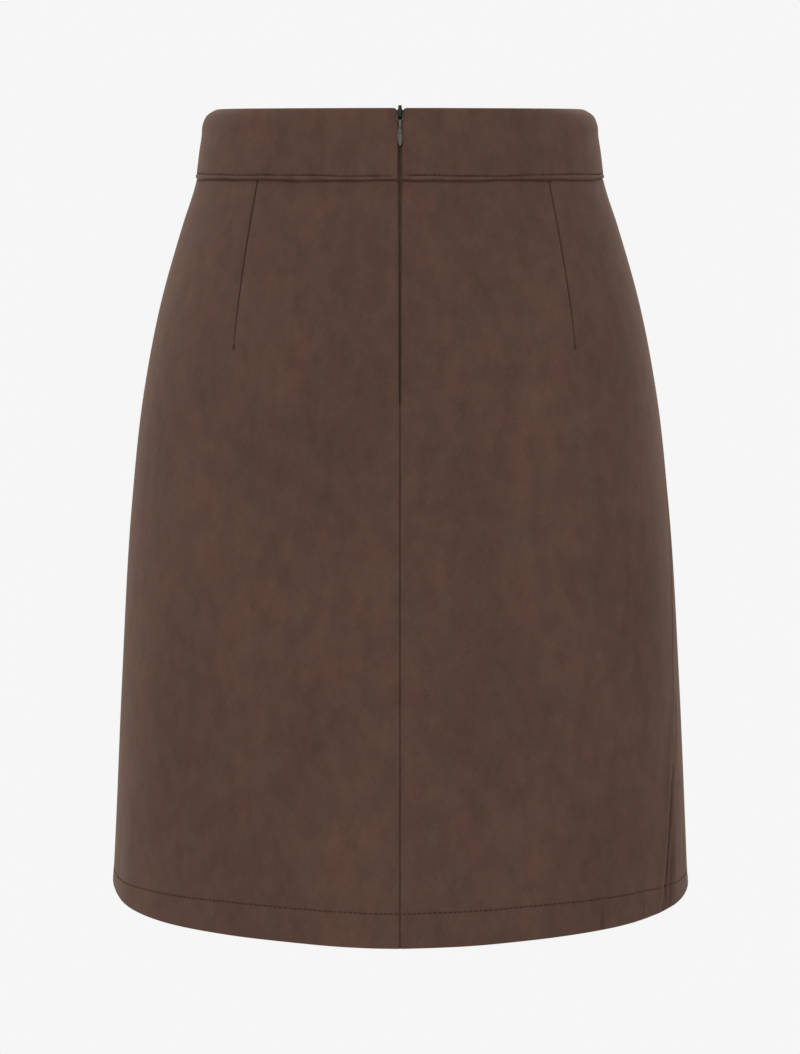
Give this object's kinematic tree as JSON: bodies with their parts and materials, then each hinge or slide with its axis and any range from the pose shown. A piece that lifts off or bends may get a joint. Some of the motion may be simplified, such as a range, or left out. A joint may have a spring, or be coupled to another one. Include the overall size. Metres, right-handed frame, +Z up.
{
  "type": "wrap skirt",
  "caption": "Short A-line wrap skirt in dark brown brushed suedette with a contour waistband, back darts, a lapped front and a centre-back invisible zip.",
  "frame": {"origin": "centre of the waist, halfway up the waistband", "axes": "+Z up the garment, front towards -Y, back with the zip towards +Y, the wearer's left at +X"},
  "size_m": [0.3632, 0.2812, 0.4947],
  "materials": {
    "suedette": "matt brushed suedette, dark brown, with a short soft nap",
    "band_suedette": "the same suedette, interlined and doubled",
    "zip_tape": "fine woven polyester tape, dark brown",
    "zip_coil": "nylon coil, dark brown",
    "slider_metal": "dark painted metal, semi-matt",
    "pull_metal": "grey metal, worn satin"
  },
  "bodies": {
    "skirt": {"back_left": "suedette", "back_right": "suedette", "front_over": "suedette", "front_under": "suedette", "waistband": "band_suedette", "zip_tape_left": "zip_tape", "zip_tape_right": "zip_tape", "zip_coil": "zip_coil", "zip_stop": "slider_metal", "zip_slider": "slider_metal"},
    "pull": {"zip_pull": "pull_metal"}
  },
  "joints": [
    {"name": "pull_swing", "type": "hinge", "parent": "skirt", "child": "pull", "pos_m": [0, 0.0941, 0.0172], "axis": [1, 0, 0], "range_deg": [0, 165]}
  ]
}
